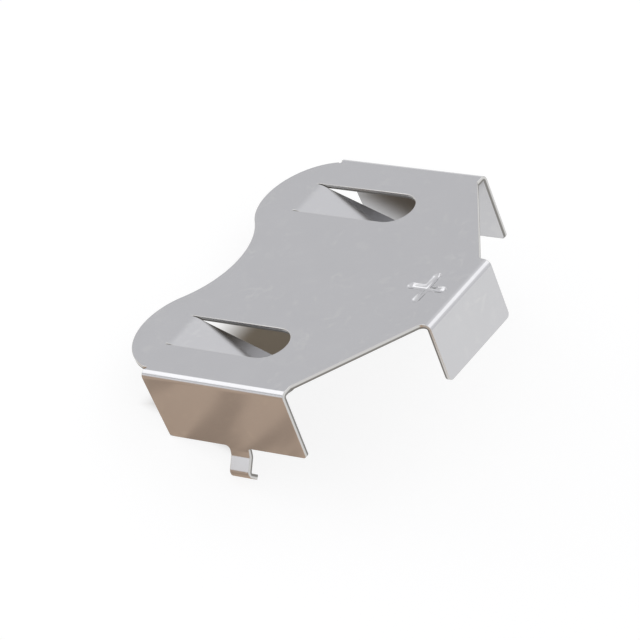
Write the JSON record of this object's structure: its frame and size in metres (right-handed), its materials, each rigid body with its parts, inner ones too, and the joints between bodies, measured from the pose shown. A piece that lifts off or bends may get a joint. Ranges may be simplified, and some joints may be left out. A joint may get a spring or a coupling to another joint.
{
  "type": "coin cell holder",
  "caption": "Folded spring-metal retainer that holds a 20 mm coin cell on a circuit board, with pressing tongues, a rear stop and kinked snap-in legs.",
  "frame": {"origin": "on the upper face of the circuit board, midway between the two legs, which is under the centre of the seated cell", "axes": "+X toward the rear stop, so the cell slides in from -X; +Y across the cell; +Z away from the board"},
  "size_m": [0.0186, 0.0222, 0.0066],
  "materials": {
    "spring_strip": "bright nickel-plated rolled spring strip, half mirror, with sheared edges"
  },
  "bodies": {
    "root": {"retainer": "spring_strip"}
  },
  "joints": []
}
